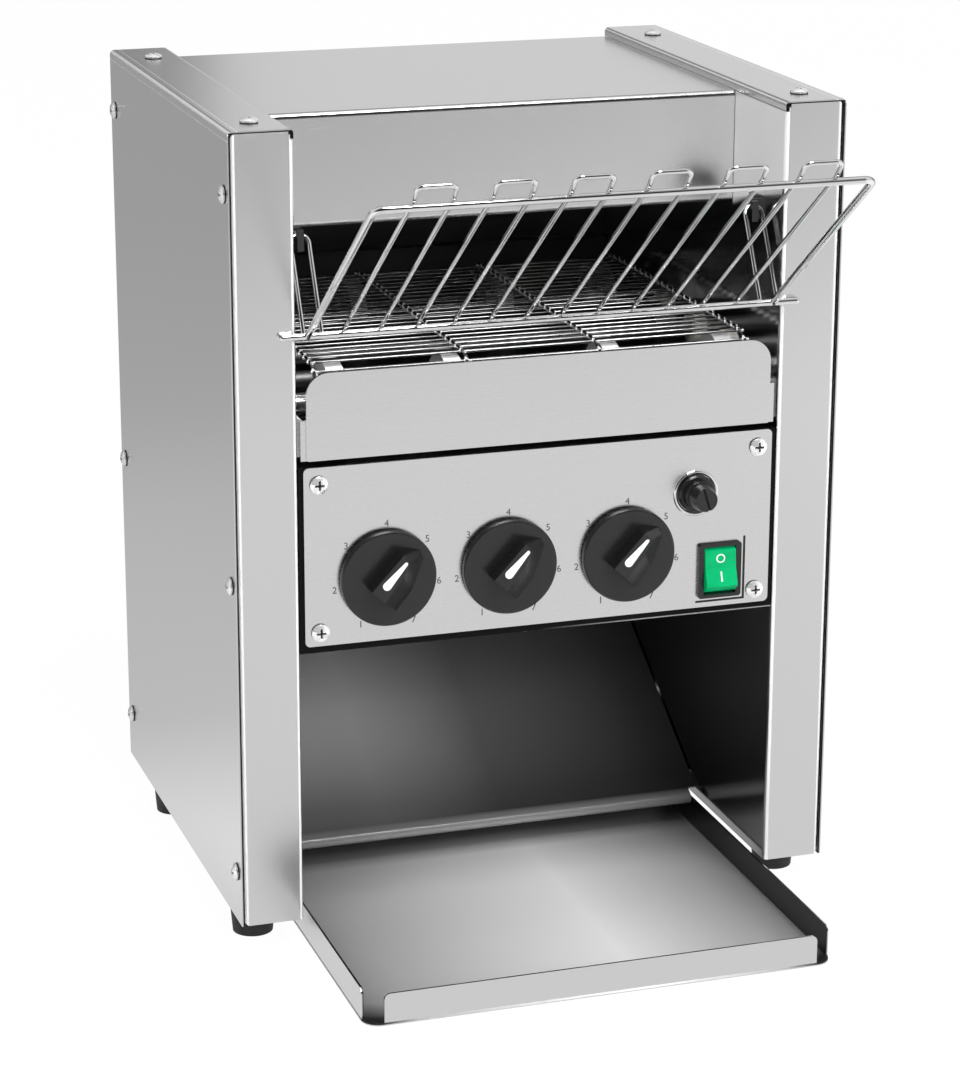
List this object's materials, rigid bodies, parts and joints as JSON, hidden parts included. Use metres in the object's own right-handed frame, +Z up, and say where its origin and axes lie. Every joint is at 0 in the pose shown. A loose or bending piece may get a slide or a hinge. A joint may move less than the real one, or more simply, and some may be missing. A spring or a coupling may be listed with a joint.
{
  "type": "conveyor toaster",
  "caption": "Countertop conveyor toaster: bread rides a wire belt between heating elements and slides down to a front tray.",
  "frame": {"origin": "centre of the overall plan at table height, under the feet", "axes": "+Z up, -Y to the front where the bread goes in and comes out, +X to the right seen from the front"},
  "size_m": [0.2952, 0.3654, 0.3876],
  "materials": {
    "brushed_steel": "satin stainless steel sheet",
    "dark_steel": "plain steel sheet",
    "element_steel": "heat-darkened element tube",
    "bright_wire": "polished stainless wire",
    "machined_steel": "turned steel",
    "chain_steel": "oiled chain",
    "screw_steel": "bright pan-head screws",
    "bush_brass": "sintered bush",
    "ceramic": "glazed ceramic",
    "motor_black": "satin paint",
    "knob_black": "glossy black plastic",
    "housing_black": "matte black plastic",
    "pointer_white": "white plastic",
    "rocker_green": "lit green plastic",
    "thermostat_metal": "plated metal",
    "reset_red": "red plastic",
    "foot_rubber": "black rubber"
  },
  "bodies": {
    "machine": {"side_frame_left": "brushed_steel", "side_frame_right": "brushed_steel", "side_cover_left": "brushed_steel", "side_cover_right": "brushed_steel", "top_cover": "brushed_steel", "rear_panel": "brushed_steel", "base_plate": "brushed_steel", "toast_chute": "brushed_steel", "front_guard": "brushed_steel", "guard_brackets": "brushed_steel", "control_panel": "brushed_steel", "control_housing": "dark_steel", "housing_screws": "screw_steel", "upper_reflector": "brushed_steel", "lower_reflector": "brushed_steel", "upper_elements": "element_steel", "lower_elements": "element_steel", "element_bushes": "ceramic", "belt_top_run": "bright_wire", "belt_rear_bend": "bright_wire", "belt_return_run": "bright_wire", "belt_front_bend": "bright_wire", "shaft_bushes": "bush_brass", "gearmotor": "motor_black", "drive_chain": "chain_steel", "bottom_regulator": "housing_black", "top_regulator": "housing_black", "speed_control": "housing_black", "terminal_block": "pointer_white", "switch_housing": "housing_black", "safety_thermostat": "thermostat_metal", "thermostat_collar": "knob_black", "rack_hooks": "brushed_steel", "feet": "foot_rubber", "side_screws": "screw_steel", "top_screws": "screw_steel", "panel_screws": "screw_steel", "rear_screws": "screw_steel", "cable_gland": "knob_black"},
    "knob_bottom": {"knob_bottom": "knob_black", "pointer_bottom": "pointer_white", "spindle_bottom": "machined_steel"},
    "knob_top": {"knob_top": "knob_black", "pointer_top": "pointer_white", "spindle_top": "machined_steel"},
    "knob_speed": {"knob_speed": "knob_black", "pointer_speed": "pointer_white", "spindle_speed": "machined_steel"},
    "rocker": {"switch_rocker": "rocker_green"},
    "thermostat_cap": {"thermostat_cap": "knob_black"},
    "reset_button": {"reset_button": "reset_red"},
    "tray": {"collection_tray": "brushed_steel"},
    "rack": {"loading_rack": "bright_wire"},
    "front_shaft": {"front_shaft": "machined_steel", "front_wheels": "machined_steel"},
    "drive_shaft": {"drive_shaft": "machined_steel", "drive_wheels": "machined_steel", "shaft_sprocket": "machined_steel"},
    "motor_shaft": {"motor_shaft": "machined_steel", "motor_sprocket": "machined_steel"}
  },
  "joints": [
    {"name": "bottom_knob_turn", "type": "hinge", "parent": "machine", "child": "knob_bottom", "pos_m": [-0.0744, -0.07132, 0.178], "axis": [0, 1, 0], "range_deg": [-193, 107]},
    {"name": "top_knob_turn", "type": "hinge", "parent": "machine", "child": "knob_top", "pos_m": [-0.0164, -0.07132, 0.178], "axis": [0, 1, 0], "range_deg": [-193, 107]},
    {"name": "speed_knob_turn", "type": "hinge", "parent": "machine", "child": "knob_speed", "pos_m": [0.0416, -0.07132, 0.178], "axis": [0, 1, 0], "range_deg": [-193, 107]},
    {"name": "rocker_tilt", "type": "hinge", "parent": "machine", "child": "rocker", "pos_m": [0.0878, -0.06702, 0.1658], "axis": [1, 0, 0], "range_deg": [0, 24]},
    {"name": "cap_pull", "type": "slide", "parent": "machine", "child": "thermostat_cap", "axis": [0, -1, 0], "range_m": [0, 0.014]},
    {"name": "reset_press", "type": "slide", "parent": "machine", "child": "reset_button", "axis": [0, 1, 0], "range_m": [0, 0.002], "stiffness_N_per_m": 300},
    {"name": "tray_pull", "type": "slide", "parent": "machine", "child": "tray", "axis": [0, -1, 0], "range_m": [0, 0.21]},
    {"name": "rack_lift", "type": "slide", "parent": "machine", "child": "rack", "axis": [0, 0, 1], "range_m": [0, 0.012]},
    {"name": "drive_shaft_turn", "type": "hinge", "parent": "machine", "child": "drive_shaft", "pos_m": [0, 0.11415, 0.2555], "axis": [-1, 0, 0], "continuous": true, "deforming": ["drive_chain"]},
    {"name": "front_shaft_turn", "type": "hinge", "parent": "machine", "child": "front_shaft", "pos_m": [0, -0.04702, 0.2555], "axis": [-1, 0, 0], "continuous": true},
    {"name": "motor_shaft_turn", "type": "hinge", "parent": "machine", "child": "motor_shaft", "pos_m": [0, -0.01442, 0.18999], "axis": [-1, 0, 0], "continuous": true}
  ],
  "couplings": [
    {"joint": "front_shaft_turn", "follows": "drive_shaft_turn", "ratio": 1},
    {"joint": "motor_shaft_turn", "follows": "drive_shaft_turn", "ratio": 1.6364}
  ]
}
